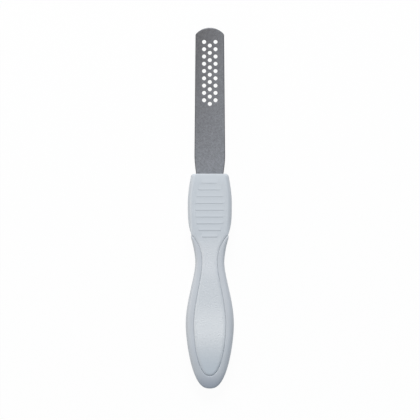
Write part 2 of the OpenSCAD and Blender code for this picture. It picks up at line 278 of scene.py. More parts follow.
def grid_faces(index, wrap=False):
    """Four-sided faces between the neighbours of a grid of point numbers."""
    if wrap:
        index = np.hstack([index, index[:, :1]])
    corners = [index[:-1, :-1], index[:-1, 1:], index[1:, 1:], index[1:, :-1]]
    return np.stack(corners, axis=-1).reshape(-1, 4)


def zip_faces(line):
    """Faces across a line of point numbers folded in half, so that its first point meets its last."""
    half = len(line) // 2
    there, back = line[:half], line[::-1][:half]
    return np.stack([there[:-1], there[1:], back[1:], back[:-1]], axis=-1)


# Points closer than MERGE become one, and edges that turn by more than CREASE are drawn sharp
MERGE = 0.002
CREASE = np.radians(38)


def make_piece(name, points, faces, material, replaced):
    """A mesh from points in millimetres and lists of faces, with its doubles merged and its faces outwards.
    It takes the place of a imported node, or of none."""
    mesh = bpy.data.meshes.new(name)
    mesh.from_pydata((np.asarray(points) * MM).tolist(), [], [list(map(int, face)) for face in faces])
    shape = bmesh.new()
    shape.from_mesh(mesh)
    bmesh.ops.remove_doubles(shape, verts=shape.verts, dist=MERGE * MM)
    bmesh.ops.recalc_face_normals(shape, faces=shape.faces)
    open_edges = sum(not edge.is_manifold for edge in shape.edges)
    shape.to_mesh(mesh)
    shape.free()
    mesh.shade_smooth()
    mesh.set_sharp_from_angle(angle=CREASE)
    mesh.materials.append(material)
    piece = bpy.data.objects.new(name, mesh)
    bpy.context.scene.collection.objects.link(piece)
    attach(piece, "root")
    if replaced:
        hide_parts(replaced)
    triangles = sum(len(polygon.vertices) - 2 for polygon in mesh.polygons)
    print(f"{name}: {triangles} triangles, {open_edges} open edges")
    return piece


# %% [markdown]
# ## Finishes
#
# Each finish of the file is a Principled shader with a few texture nodes. One function adds a
# node with its settings and links, and another turns the hex colours, which are how a paint chart
# gives them, into the linear values that a renderer adds up.

# %% Helpers for materials
def colour(hex_code):
    """An sRGB hex colour as linear red, green, blue and alpha. The darkest shares follow a straight line, and
    the rest a power of 2.4."""
    share = np.array([int(hex_code[i : i + 2], 16) for i in (1, 3, 5)]) / 255
    linear = np.where(share <= 0.04045, share / 12.92, ((share + 0.055) / 1.055) ** 2.4)
    return (*linear, 1.0)


def add_node(tree, kind, sockets=None, **settings):
    """Adds a node with its settings, and fills each named socket with a value or another node's output."""
    made = tree.nodes.new(kind)
    for name, value in settings.items():
        setattr(made, name, value)
    for name, value in (sockets or {}).items():
        if isinstance(value, bpy.types.NodeSocket):
            tree.links.new(value, made.inputs[name])
        else:
            made.inputs[name].default_value = value
    return made


def new_material(name):
    """An empty node material, its tree, and the object coordinates that its patterns read."""
    material = bpy.data.materials.new(name)
    material.use_nodes = True
    tree = material.node_tree
    tree.nodes.clear()
    place = add_node(tree, "ShaderNodeTexCoord").outputs["Object"]
    return material, tree, place


def finish_material(material, shader):
    """Sends a shader to the surface output, and gives the finished material back."""
    add_node(material.node_tree, "ShaderNodeOutputMaterial", {"Surface": shader.outputs[0]})
    print("finish:", material.name)
    return material


def per_metre(size_mm):
    """The texture scale at which one pattern cell is about size_mm across."""
    return 1 / (size_mm * MM)


# A Mix node keeps its plain numbers and its colours on sockets of their own
FACTOR = 0
NUMBER_A, NUMBER_B, MIXED_NUMBER = 2, 3, 0
COLOUR_A, COLOUR_B, MIXED = 6, 7, 2

# %% [markdown]
# ### The shells: satin ABS
#
# The shells are moulded in pale blue-grey ABS. The mould is polished to a satin on the head and
# spark-eroded over the grip panel, where the skin sparkles. Its real craters are about 0.05 mm wide,
# too fine for the render, so they are drawn twelve times as wide. Light and shade are painted into
# the panel's colour. From the notch it is paler, a painted sheen for the light that the eroded skin
# scatters. It is a little darker at the swell as painted shade, palest over the widest part as a
# painted sheen, and darker and bluer at the end as painted shade where the panel falls away from the
# lamp. Along the panel's edge painted shade takes the colour about half way back to that of the head.

# %% Shell plastic
CRATER = 0.6
CRATER_DEPTH = 0.34
HEAD_RELIEF = 0.05
CLOUD = 18
# The stations between which each change eases in
ERODED = (33, 44)
SWELL = (52, 60)
PALM = (68, 84)
END = (88, 112)


def between_stations(tree, place, start, end):
    """A share that eases from 0 at one station of the handle to 1 at another."""
    apart = add_node(tree, "ShaderNodeSeparateXYZ", {"Vector": place})
    return add_node(tree, "ShaderNodeMapRange", {
        "Value": apart.outputs["Y"],
        "From Min": (MOUTH_Y - start) * MM, "From Max": (MOUTH_Y - end) * MM},
        interpolation_type="SMOOTHSTEP").outputs["Result"]


# Painted shade along the panel's edge: the mark it follows, and the share of the way back to the head's
# colour that it takes
EDGE_SHADE_MARK = "panel_edge"
EDGE_SHADE_SHARE = 0.45


def satin_abs():
    """Satin pale ABS that turns rougher from the notch over the grip panel. Its colour there carries painted
    sheen and shade along the panel, and painted shade holds it back along the panel's edge, which the
    shells carry a mark for."""
    material, tree, place = new_material("satin_abs")
    bands = (ERODED, SWELL, PALM, END)
    eroded, swell, palm, end = (between_stations(tree, place, *band) for band in bands)
    craters = add_node(tree, "ShaderNodeTexNoise", {
        "Vector": place, "Scale": per_metre(CRATER), "Detail": 1.0}).outputs["Fac"]
    relief = HEAD_RELIEF
    for share, next_relief in ((eroded, 0.7), (palm, 0.9), (end, 0.3)):
        relief = add_node(tree, "ShaderNodeMix", {
            FACTOR: share, NUMBER_A: relief, NUMBER_B: next_relief}).outputs[MIXED_NUMBER]
    bump = add_node(tree, "ShaderNodeBump", {
        "Strength": relief, "Distance": CRATER_DEPTH * MM, "Height": craters})
    clouds = add_node(tree, "ShaderNodeTexNoise", {
        "Vector": place, "Scale": per_metre(CLOUD), "Detail": 2.0})
    polished = add_node(tree, "ShaderNodeMix", {
        FACTOR: clouds.outputs["Fac"], COLOUR_A: colour("#BEC4CB"), COLOUR_B: colour("#C3C7CC")},
        data_type="RGBA")
    tint = polished
    # Painted sheen and shade along the panel: paler from the notch, darker at the swell, palest at the palm,
    # darker and bluer at the end
    for share, hex_code in ((eroded, "#D2D5DA"), (swell, "#CBCFD4"), (palm, "#DBDEE2"), (end, "#CBD3DC")):
        tint = add_node(tree, "ShaderNodeMix", {
            FACTOR: share, COLOUR_A: tint.outputs[MIXED], COLOUR_B: colour(hex_code)}, data_type="RGBA")
    # Painted shade beside the groove: near the edge the panel's colour goes part of the way back to the
    # head's
    mark = add_node(tree, "ShaderNodeAttribute", attribute_name=EDGE_SHADE_MARK).outputs["Fac"]
    painted_edge_shade = add_node(tree, "ShaderNodeMath", {0: mark, 1: EDGE_SHADE_SHARE}, operation="MULTIPLY")
    tint = add_node(tree, "ShaderNodeMix", {
        FACTOR: painted_edge_shade.outputs[0], COLOUR_A: tint.outputs[MIXED], COLOUR_B: polished.outputs[MIXED]},
        data_type="RGBA")
    gloss = add_node(tree, "ShaderNodeMapRange", {
        "Value": craters, "From Min": 0.3, "From Max": 0.7, "To Min": 0.34, "To Max": 0.48})
    shader = add_node(tree, "ShaderNodeBsdfPrincipled", {
        "Base Color": tint.outputs[MIXED], "Roughness": gloss.outputs["Result"], "IOR": 1.53,
        "Normal": bump.outputs["Normal"]})
    return finish_material(material, shader)


SHELL_FINISH = satin_abs()

# %% [markdown]
# ### The rim: smooth elastomer
#
# The rim is a thermoplastic elastomer, moulded in a plain polished cavity. It is a little darker
# and duller than the shells. Handling clouds it faintly. Past the palm painted light makes it paler,
# and towards the butt painted shade darkens it, where its rounded end turns away from the lamp.

# %% Rim elastomer
HANDLING = 9
SKIN = 0.4
# How far in from the butt its painted shade reaches, and where the painted light past the palm eases in
BUTT_SHADE_OVER = 11
PALE = (84, 100)


def soft_elastomer():
    """Smooth pale elastomer, faintly clouded in colour and gloss, with painted light past the palm and
    painted shade at the butt.
    """
    material, tree, place = new_material("soft_elastomer")
    clouds = add_node(tree, "ShaderNodeTexNoise", {
        "Vector": place, "Scale": per_metre(HANDLING), "Detail": 4.0})
    fresh = add_node(tree, "ShaderNodeMix", {
        FACTOR: clouds.outputs["Fac"], COLOUR_A: colour("#BFC3C9"), COLOUR_B: colour("#C3C7CD")},
        data_type="RGBA")
    # Painted light: paler past the palm
    pale = add_node(tree, "ShaderNodeMix", {
        FACTOR: between_stations(tree, place, *PALE), COLOUR_A: fresh.outputs[MIXED],
        COLOUR_B: colour("#C7CCD3")}, data_type="RGBA")
    # Painted shade: darker towards the butt, where the rounded end turns from the lamp
    painted_butt_shade = between_stations(tree, place, BUTT_AT - BUTT_SHADE_OVER, BUTT_AT)
    tint = add_node(tree, "ShaderNodeMix", {
        FACTOR: painted_butt_shade, COLOUR_A: pale.outputs[MIXED], COLOUR_B: colour("#A7AEBA")}, data_type="RGBA")
    gloss = add_node(tree, "ShaderNodeMapRange", {
        "Value": clouds.outputs["Fac"], "From Min": 0.3, "From Max": 0.7, "To Min": 0.42, "To Max": 0.52})
    skin = add_node(tree, "ShaderNodeTexNoise", {"Vector": place, "Scale": per_metre(SKIN), "Detail": 2.0})
    bump = add_node(tree, "ShaderNodeBump", {
        "Strength": 0.25, "Distance": 0.01 * MM, "Height": skin.outputs["Fac"]})
    shader = add_node(tree, "ShaderNodeBsdfPrincipled", {
        "Base Color": tint.outputs[MIXED], "Roughness": gloss.outputs["Result"], "IOR": 1.49,
        "Normal": bump.outputs["Normal"]})
    return finish_material(material, shader)


RIM_FINISH = soft_elastomer()

# %% [markdown]
# ### The strip: stamped stainless steel
#
# The strip is stamped from rolled stainless sheet. Its bare edge shows round the coat, with faint
# drag lines across the thickness from the punch.

# %% Blade steel
DRAG_LINE = 0.25
DRAG_STRETCH = 0.08


def stamped_steel():
    """Stainless steel with fine lines drawn through the sheet by the punch."""
    material, tree, place = new_material("stamped_stainless")
    stretched = add_node(tree, "ShaderNodeMapping", {"Vector": place, "Scale": (1.0, 1.0, DRAG_STRETCH)})
    lines = add_node(tree, "ShaderNodeTexNoise", {
        "Vector": stretched.outputs["Vector"], "Scale": per_metre(DRAG_LINE), "Detail": 3.0})
    gloss = add_node(tree, "ShaderNodeMapRange", {
        "Value": lines.outputs["Fac"], "From Min": 0.3, "From Max": 0.7, "To Min": 0.28, "To Max": 0.45})
    bump = add_node(tree, "ShaderNodeBump", {
        "Strength": 0.3, "Distance": 0.01 * MM, "Height": lines.outputs["Fac"]})
    shader = add_node(tree, "ShaderNodeBsdfPrincipled", {
        "Base Color": colour("#505257"), "Metallic": 1.0, "Roughness": gloss.outputs["Result"],
        "Normal": bump.outputs["Normal"]})
    return finish_material(material, shader)


STEEL_FINISH = stamped_steel()

# %% [markdown]
# ### The coats: grains bonded in nickel
#
# Mineral grains are spread on each face and held by nickel that is plated up between them. The
# bond is a dull grey metal. Its colour and the grains' carry painted light: a painted sheen towards
# the mouth, and painted shade towards the tip and a little towards the left. The grains are harder
# and glassier, and each one is a real solid, because their edges are what catches light.

# %% A colour that turns along the blade, painting sheen and shade
DARK_SIDE = 0.22
DARK_POWER = 0.75
# The colour turns from a little inside the mouth to a little past the tip, in millimetres of the frame's y
PALE_BEFORE = 12
DARK_PAST = 110


def painted_light_along_blade(tree, place, near_mouth, near_tip):
    """Painted light: a colour that turns from a painted sheen near the mouth to painted shade near the tip,
    along a power of the way. It is always further on at the left than at the right, which paints shade on the
    left."""
    apart = add_node(tree, "ShaderNodeSeparateXYZ", {"Vector": place})
    along = add_node(tree, "ShaderNodeMapRange", {
        "Value": apart.outputs["Y"], "From Min": PALE_BEFORE * MM, "From Max": DARK_PAST * MM})
    eased = add_node(tree, "ShaderNodeMath", {0: along.outputs["Result"], 1: DARK_POWER}, operation="POWER")
    across = add_node(tree, "ShaderNodeMapRange", {
        "Value": apart.outputs["X"], "From Min": -BLADE_W / 2 * MM, "From Max": BLADE_W / 2 * MM,
        "To Min": 1 + DARK_SIDE, "To Max": 1 - DARK_SIDE})
    share = add_node(tree, "ShaderNodeMath", {
        0: eased.outputs[0], 1: across.outputs["Result"]}, operation="MULTIPLY")
    return add_node(tree, "ShaderNodeMix", {
        FACTOR: share.outputs[0], COLOUR_A: colour(near_mouth), COLOUR_B: colour(near_tip)},
        data_type="RGBA").outputs[MIXED]


# %% Bond and grains
BLOTCH = 1.2
BLOTCH_SHADE = 0.22


def mottled(tree, place, base):
    """A colour multiplied by soft blotches, from a share darker to the same share lighter."""
    blotches = add_node(tree, "ShaderNodeTexNoise", {
        "Vector": place, "Scale": per_metre(BLOTCH), "Detail": 5.0, "Roughness": 0.65})
    shade = add_node(tree, "ShaderNodeMapRange", {
        "Value": blotches.outputs["Fac"], "From Min": 0.3, "From Max": 0.7,
        "To Min": 1 - BLOTCH_SHADE, "To Max": 1 + BLOTCH_SHADE})
    return add_node(tree, "ShaderNodeMix", {
        FACTOR: 1.0, COLOUR_A: base, COLOUR_B: shade.outputs["Result"]},
        data_type="RGBA", blend_type="MULTIPLY").outputs[MIXED]


def nickel_bond(name, near_mouth, near_tip, pit_mm):
    """Dull plated metal, pitted between the grains."""
    material, tree, place = new_material(name)
    base = mottled(tree, place, painted_light_along_blade(tree, place, near_mouth, near_tip))
    pits = add_node(tree, "ShaderNodeTexVoronoi", {"Vector": place, "Scale": per_metre(pit_mm)})
    bump = add_node(tree, "ShaderNodeBump", {
        "Strength": 0.8, "Distance": 0.05 * MM, "Height": pits.outputs["Distance"]})
    shader = add_node(tree, "ShaderNodeBsdfPrincipled", {
        "Base Color": base, "Metallic": 0.6, "Roughness": 0.55, "Normal": bump.outputs["Normal"]})
    return finish_material(material, shader)


def mineral_grains(name, near_mouth, near_tip):
    """Glassy grey mineral, a little different from grain to grain."""
    material, tree, place = new_material(name)
    base = mottled(tree, place, painted_light_along_blade(tree, place, near_mouth, near_tip))
    shader = add_node(tree, "ShaderNodeBsdfPrincipled", {
        "Base Color": base, "Roughness": 0.35, "IOR": 1.76})
    return finish_material(material, shader)


# Each pair of colours runs from a painted sheen near the mouth to painted shade near the tip
COARSE_BOND = nickel_bond("nickel_bond_coarse", "#82858B", "#5A5A5D", 0.34)
FINE_BOND = nickel_bond("nickel_bond_fine", "#8D9095", "#646468", 0.26)
COARSE_GRAIN = mineral_grains("corundum_coarse", "#7F8288", "#575759")
FINE_GRAIN = mineral_grains("corundum_fine", "#888B90", "#606164")

# %% [markdown]
# ## The shells
#
# A handle half is a moulded shell. It could be a solid with a hole cut out, or a skin thickened by
# a modifier. Here the outer skin, the walls of the blade's slot and the inner skin are rows of one
# grid, from the butt's outside to the mouth, in through the slot and back along the inside. The
# two long edges of that grid meet in the parting plane, where they are zipped together.
#
# ### The ribs
#
# Nine low ribs across each face of the head keep the thumb from slipping. They could be bars laid
# on the shell, but moulded ribs flow out of its skin, so here they are a height that is added to
# the skin. They end on an oval. Towards the butt they grow higher and drop away more gently.

# %% Ribs under the thumb
# The longest rib, the length of the oval that the ribs end on, and the round at a rib's end
RIB_LEN = 16.5
RIB_OVAL = 36
RIB_END = 0.8
RIB_RAMP = 3.2
RIB_RAMP_POWER = 2
RIB_FLANK = 0.4
RIB_LAST_FLANK = 0.8
RIB_FIRST_STEP = 0.115
RIB_STEP_POWER = 1.5
# The last rib or two stand a little closer to the one before
RIB_LAST_SHIFT = 0.15
RIB_SHIFT_POWER = 8

down_head = np.linspace(0, 1, RIB_COUNT)
RIB_DROPS = RIB_STATIONS - RIB_LAST_SHIFT * down_head**RIB_SHIFT_POWER
RIB_STEPS = mix(RIB_FIRST_STEP, RIB_RISE, down_head**RIB_STEP_POWER)
RIB_FLANKS = mix(RIB_FLANK, RIB_LAST_FLANK, down_head**2)
off_centre = (RIB_STATIONS - RIB_CENTRE) / (RIB_OVAL / 2)
RIB_HALVES = RIB_LEN / 2 * np.sqrt(1 - off_centre**2) - RIB_END
print("heights of the ribs:", RIB_STEPS.round(3))


def rib_height(x, s):
    """Height of the ribs over the head. A rib is a ramp that rises along a power curve towards the butt and
    eases down again. Beside its end it shrinks along a quarter circle, which rounds the drop's corner."""
    beyond = np.clip((np.abs(x)[..., None] - RIB_HALVES) / RIB_END, 0, 1)
    size = np.sqrt(1 - beyond**2)
    behind = s[..., None] - RIB_DROPS + RIB_FLANKS / 2 + (1 - size) * RIB_END
    rise = power(1 + behind / RIB_RAMP, RIB_RAMP_POWER)
    drop = 1 - smooth(behind / RIB_FLANKS)
    return (RIB_STEPS * size * rise * drop).max(axis=-1)


# %% One row of the shell's skin for each station
HEAD_ROLL = 2.6
HEAD_ROLL_DEPTH = 4.4
PANEL_ROLL = 1.7
PANEL_DROP = 0.7
DROP_BLEND = (25, 34.6)
ROLL_BLEND = (25, 50)
PARTING = 0.2
# The most of the half width that the edge takes
ROLL_SHARE = 0.8
# Where the wall has a point, between the tongue and the wall's top
WALL_SHARE = 0.6
ROLL_ANGLES = quarter_turn(15)
# Columns over the flat as shares of its half width, close where the ribs end and far apart in the middle
FLAT_SHARES = np.concatenate([
    np.linspace(0.98, 0.94, 3), np.linspace(0.92, 0.38, 34), [0.27, 0.16, 0.05]])


def edge_sizes(s):
    """Width and height of the rolled edge at each station. Both ease from the head's soft shoulder to the
    panel's low edge, the height by the notch and the width only at the waist."""
    low = smooth(progress(s, *DROP_BLEND))
    narrow = smooth(progress(s, *ROLL_BLEND))
    return mix(HEAD_ROLL, PANEL_ROLL, narrow), mix(HEAD_ROLL_DEPTH, PANEL_DROP, low)


def skin_rows(half, depth, roll, drop):
    """Rows across the skin, from the parting plane on the right, up the wall, round the edge, over the flat
    and down the other side. The edge is a quarter ellipse, roll wide and drop high. A row's sizes are one
    entry of the four arrays."""
    half, depth, roll, drop = (size[:, None] for size in (half, depth, roll, drop))
    roll = np.minimum(roll, half * ROLL_SHARE)
    parting = np.minimum(PARTING, half / 2)
    wall_top = depth - drop
    right_x = np.hstack([
        half - parting, half, half, half,
        half - roll * (1 - np.cos(ROLL_ANGLES)),
        (half - roll) * FLAT_SHARES])
    right_z = np.hstack([
        0 * half, parting, np.minimum(TONGUE_T, wall_top / 2), mix(TONGUE_T, wall_top, WALL_SHARE),
        depth - drop * (1 - np.sin(ROLL_ANGLES)),
        depth + 0 * FLAT_SHARES])
    return np.hstack([right_x, -right_x[:, ::-1]]), np.hstack([right_z, right_z[:, ::-1]])


# %% The shell's stations
MOUTH_CORNER = 1.5
ROW_STEP = 0.8
EVEN_PAST_PALM = 8


def shell_stations():
    """Stations that crowd round the mouth's corner, over each rib and towards the panel's end, and go by
    even steps between them."""
    mouth = MOUTH_CORNER * (1 - np.cos(quarter_turn(11)))
    ramp = np.linspace(-RIB_RAMP, -RIB_FLANK, 9)
    over_rib = np.concatenate([ramp, np.linspace(-RIB_FLANK, RIB_FLANK, 15)[1:]])
    ribs = (RIB_STATIONS[:, None] + over_rib).ravel()
    lead = np.linspace(MOUTH_CORNER, ribs[0], 6)[1:-1]
    panel = np.arange(ribs[-1] + ROW_STEP, PALM_AT + EVEN_PAST_PALM, ROW_STEP)
    end = mix(panel[-1], PANEL_END, np.sin(quarter_turn(32)))[1:]
    return np.sort(np.concatenate([mouth, lead, ribs, panel, end]))


print(len(shell_stations()), "rows along each skin")

# %% The shell's two skins
TONGUE_FIT = 0.12
MOUTH_EDGE = 0.25
MOUTH_DRAFT = 0.28
DRAFT_OVER = 2.5
# The least half width of a row
END_HALF = 0.3


def tongue_reach(s):
    """The way from the panel's side to the tongue's edge at each station, across and towards the butt, and
    whether there is one. The tongue fills the rim's groove, less a gap."""
    abreast = moved_end(s, PANEL_END + SEAM, BUTT_AT)
    inner, outer, _ = rim_lines(np.minimum(abreast, BUTT_AT))
    span = np.linalg.norm(outer - inner, axis=1)
    reach = np.clip(groove_floor(abreast, span) + SEAM - TONGUE_FIT, 0, None)
    return (outer - inner) / span[:, None] * reach[:, None], reach > 0


def shell_skins(s):
    """Outer and inner rows. The outer mouth leans back evenly as it rises, and the tongue stands out at the
    parting plane. The inner rows are the outline less the wall, squeezed in by a wall at each end."""
    half = np.maximum(END_HALF, core_half(s) - round_in(MOUTH_CORNER, s))
    end_drop = PANEL_DROP / PANEL_ROLL * round_in(PANEL_ROLL, PANEL_END - s)
    depth = core_depth(s) - round_in(MOUTH_EDGE, s) - end_drop
    x, z = skin_rows(half, depth, *edge_sizes(s))
    stations = s[:, None] + 0 * x
    z = z + rib_height(x, stations)
    draft = MOUTH_DRAFT * np.clip(1 - stations / DRAFT_OVER, 0, 1) * z / depth.max()
    outer = np.stack([x, MOUTH_Y - stations - draft, z], axis=-1)
    way, has_tongue = tongue_reach(s)
    for column, height in ((0, 0), (1, TONGUE_T)):
        edge = np.column_stack([half + way[:, 0], MOUTH_Y - s - way[:, 1], height + 0 * s])
        outer[has_tongue, column] = edge[has_tongue]
        outer[has_tongue, -1 - column] = edge[has_tongue] * [-1, 1, 1]

    t = mix(WALL, PANEL_END - WALL, s / PANEL_END)
    half = np.maximum(END_HALF, core_half(t, -WALL))
    roll, drop = (np.maximum(PANEL_DROP / 2, size - WALL) for size in edge_sizes(t))
    x, z = skin_rows(half, core_depth(t) - WALL, roll, drop)
    inner = np.stack([x, MOUTH_Y - t[:, None] + 0 * x, z], axis=-1)
    return outer, inner


# %% The slot for the blade, and the whole shell
BLADE_NECK_W = 15.3
SLOT_FIT = 0.1
SLOT_HALF = BLADE_NECK_W / 2 + SLOT_FIT
SLOT_H = BLADE_T / 2 + COAT_T + SLOT_FIT
# The points of a row that make the slot's side
SIDE_COLUMNS = 5


def slot_row(outer_row, y):
    """The slot's outline, with as many points as a skin row: up its side, along its roof and down again."""
    across = outer_row[:, 0] / outer_row[SIDE_COLUMNS - 1, 0]
    x = SLOT_HALF * np.clip(across, -1, 1)
    z = np.full_like(x, SLOT_H)
    z[:SIDE_COLUMNS] = np.linspace(0, SLOT_H, SIDE_COLUMNS)
    z[-SIDE_COLUMNS:] = np.linspace(SLOT_H, 0, SIDE_COLUMNS)
    x[:SIDE_COLUMNS] = SLOT_HALF
    x[-SIDE_COLUMNS:] = -SLOT_HALF
    return np.stack([x, np.full_like(x, y), z], axis=-1)


def make_shell(name, side, replaced):
    """The whole shell as one folded grid, zipped up along its edges and shut by one face at the butt. side
    is 1 for the front and -1 for the rear."""
    outer, inner = shell_skins(shell_stations())
    slot = [slot_row(outer[0], MOUTH_Y)[None], slot_row(outer[0], MOUTH_Y - WALL)[None]]
    rows = np.concatenate([outer[::-1], *slot, inner])
    index = point_numbers(rows)
    butt = [[index[0, 0], index[0, -1], index[-1, -1], index[-1, 0]]]
    faces = np.concatenate([
        grid_faces(index), zip_faces(index[:, 0]), zip_faces(index[:, -1]),
        zip_faces(index[0]), zip_faces(index[-1]), butt])
    points = rows.reshape(-1, 3) * [1, 1, side] + [0, 0, MID_Z]
    return make_piece(name, points, faces, SHELL_FINISH, replaced)


# %% Both shells, with a mark along the panel's edge for its painted shade
EDGE_BORDER = 2.3
EDGE_FROM = (44, 56)


def mark_edge_shade(shell):
    """Marks how close each point is to the panel's edge, evenly from 0 at the border's inner side to 1 on
    the edge, for the painted shade beside the groove. The mark eases in along the waist."""
    places = np.empty(3 * len(shell.data.vertices))
    shell.data.vertices.foreach_get("co", places)
    x, y, _ = places.reshape(-1, 3).T / MM
    s = MOUTH_Y - y
    inside = np.minimum(core_half(s) - np.abs(x), PANEL_END - s)
    share = np.clip(1 - inside / EDGE_BORDER, 0, 1) * smooth(progress(s, *EDGE_FROM))
    shell.data.attributes.new(EDGE_SHADE_MARK, "FLOAT", "POINT").data.foreach_set("value", share)


mark_edge_shade(make_shell("front_grip_shell", 1, "front_shell"))
mark_edge_shade(make_shell("rear_grip_shell", -1, "rear_shell"))

# %% [markdown]
# ## The rim
#
# The rim is moulded round a tongue on the shells' edge. Its section is an arch on the outside, a
# straight inner wall with a rounded lip, and a groove for the tongue. That section is carried
# along the grip's edge, from one rounded lobe at the notch, round the butt, to the other.

# %% The rim's section, carried along its edges
ARCH = quarter_turn(25)[::-1]
LIP = quarter_turn(7)[1:-1]
# The arch is boxy at the waist and rounder towards the butt
ARCH_STATIONS = [WAIST_AT, PALM_AT, BUTT_AT]
ARCH_POWERS = [4.5, 3, 2.6]
FALL_SHARE = 0.75
LOBE_DROP = 0.15
LOBE_FLOOR = 0.02
FIRST_STEP = 0.6


def rim_side(s):
    """Sections at stations down the right side: groove floor, inner wall, lip and arch, then the same
    below. The lip is a quarter circle and the arch a quarter superellipse. Past the palm the arch also falls
    with most of the panel's slope, and a lobe is a little lower than the rest."""
    inner, outer, swing = rim_lines(s)
    span = np.linalg.norm(outer - inner, axis=1)
    way = (outer - inner) / span[:, None]
    lip = np.minimum(RIM_EDGE, span / 3)[:, None]
    groove = TONGUE_T + SEAM
    floor = np.maximum(groove_floor(s, span), LOBE_FLOOR)[:, None]
    span = span[:, None]
    exponent = 2 / np.interp(s, ARCH_STATIONS, ARCH_POWERS)[:, None]
    arch_out = lip + (span - lip) * np.clip(np.cos(ARCH), 0, 1) ** exponent
    station = inner[:, 1:]
    depth = mix(core_depth(station), core_depth(station + way[:, 1:] * arch_out), FALL_SHARE)
    arch_top = (depth - RIM_STEP) * mix(1 - LOBE_DROP, 1, swing)[:, None]
    top = arch_top[:, :1]
    out = np.hstack([floor, 0 * floor, 0 * floor, lip * (1 - np.cos(LIP)), arch_out])
    up = np.hstack([
        groove + 0 * floor, groove + 0 * floor, top - lip,
        top - lip * (1 - np.sin(LIP)), arch_top * np.sin(ARCH) ** exponent])
    out, up = np.hstack([out, out[:, -2::-1]]), np.hstack([up, -up[:, -2::-1]])
    plan = inner[:, None, :] + way[:, None, :] * out[..., None]
    return np.stack([plan[..., 0], MOUTH_Y - plan[..., 1], up], axis=-1)


def rim_stations():
    """Stations that crowd towards the lobe and the butt, with even steps between them."""
    lobe = RIM_START + LOBE * (1 - np.cos(quarter_turn(14)))
    side = np.arange(lobe[-1] + FIRST_STEP, PALM_AT, ROW_STEP)
    end = mix(PALM_AT, BUTT_AT, np.sin(quarter_turn(61)))
    return np.concatenate([lobe, side, end])


def make_rim():
    """Sections down the right side and, mirrored, back up the left, with a face across each lobe."""
    right = rim_side(rim_stations())
    rows = np.concatenate([right, right[-2::-1] * [-1, 1, 1]])
    index = point_numbers(rows)
    faces = grid_faces(index, wrap=True).tolist() + [index[0].tolist(), index[-1].tolist()]
    points = rows.reshape(-1, 3) + [0, 0, MID_Z]
    return make_piece("soft_grip_rim", points, faces, RIM_FINISH, "grip_rim")


make_rim()

# %% [markdown]
# ## The strip and its coats
#
# The strip and the two coats are the same sheet at different insets: a grid of rows and columns
# that follows the outline, with a round cell dropped in at each hole. A boolean would cut the holes
# too, but it leaves long thin faces. Here every hole keeps a clean ring of faces for its lip.

# %% The strip's outline
BLADE_TIP_W = 16
BLADE_ROOT = 10
ROOT_POWER = 1.6
TIP_R = 10.4
TIP_CORNER = 1.5
# Inside the handle: a wide tang, a taper and a narrow tail that ends past the waist
TANG_LEN = 28
TAPER_LEN = 8
TAIL_HALF = 2.5
TAIL_END = 10

TIP_CENTRE = TIP_Y - TIP_R
CORNER_X = BLADE_TIP_W / 2 - TIP_CORNER
CORNER_Y = TIP_CENTRE + np.sqrt((TIP_R - TIP_CORNER) ** 2 - CORNER_X**2)
TANGENT_X = CORNER_X * TIP_R / (TIP_R - TIP_CORNER)


def strip_half(y):
    """Half width: level along the tail, an eased taper, level along the tang, swelling to the root along a
    power of the way, then narrowing evenly."""
    t = y - MOUTH_Y
    tang = mix(BLADE_NECK_W / 2, TAIL_HALF, smooth((-t - TANG_LEN) / TAPER_LEN))
    root = mix(BLADE_W, BLADE_NECK_W, power(progress(t, BLADE_ROOT, 0), ROOT_POWER)) / 2
    reach = mix(BLADE_W, BLADE_TIP_W, progress(t, BLADE_ROOT, CORNER_Y - MOUTH_Y)) / 2
    return np.select([t < 0, t < BLADE_ROOT], [tang, root], reach)


def strip_end(x, inset):
    """The tip's outline over x: an arc of a wide circle, and one of a small circle at each shoulder."""
    arc = np.sqrt(np.clip((TIP_R - inset) ** 2 - x**2, 0, None)) + TIP_CENTRE
    past = np.clip(np.abs(x) - CORNER_X, 0, TIP_CORNER - inset)
    corner = np.sqrt((TIP_CORNER - inset) ** 2 - past**2) + CORNER_Y
    tangent = CORNER_X + (TANGENT_X - CORNER_X) * (TIP_CORNER - inset) / TIP_CORNER
    return np.where(np.abs(x) < tangent, arc, corner)


def edge_distance(x, y, inset):
    """Distance inwards from the outline: from the sides, the tip's arc, or a shoulder's round."""
    side = strip_half(y) - inset - np.abs(x)
    arc = np.where(y > TIP_CENTRE, TIP_R - inset - np.hypot(x, y - TIP_CENTRE), side)
    across, along = np.abs(x) - CORNER_X, y - CORNER_Y
    corner = TIP_CORNER - inset - np.hypot(across, along)
    at_corner = (along > 0) & (across > 0) & (along * CORNER_X < across * (CORNER_Y - TIP_CENTRE))
    return np.where(at_corner, corner, np.minimum(side, arc))


# %% The holes
HOLE_D = 2.3
HOLE_PITCH = 4.08
HOLE_GAP = 3.2
HOLE_ROWS = 9
HOLE_START = 7.9
# Grid steps across a hole's cell, each way
CELL = 8

# The middle column is set half a pitch lower than the other two
columns, steps = np.meshgrid([-1, 0, 1], np.arange(HOLE_ROWS))
hole_y = TIP_Y - HOLE_START - (steps + 0.5 * (columns == 0)) * HOLE_PITCH
HOLES = np.stack([columns * HOLE_GAP, hole_y], axis=-1).reshape(-1, 2)
print(len(HOLES), "holes from y", HOLES[:, 1].min().round(2), "to", HOLES[:, 1].max().round(2))


def hole_distance(x, y, hole_r):
    """Distance from the nearest hole's edge: from its centre, less its radius."""
    return (np.hypot(x[..., None] - HOLES[:, 0], y[..., None] - HOLES[:, 1]) - hole_r).min(axis=-1)


# %% A flat sheet with a ring of faces round every hole
OUTER_SHARES = np.sin(quarter_turn(15))[1:]
TIP_SHARES = np.sin(quarter_turn(19))[1:]


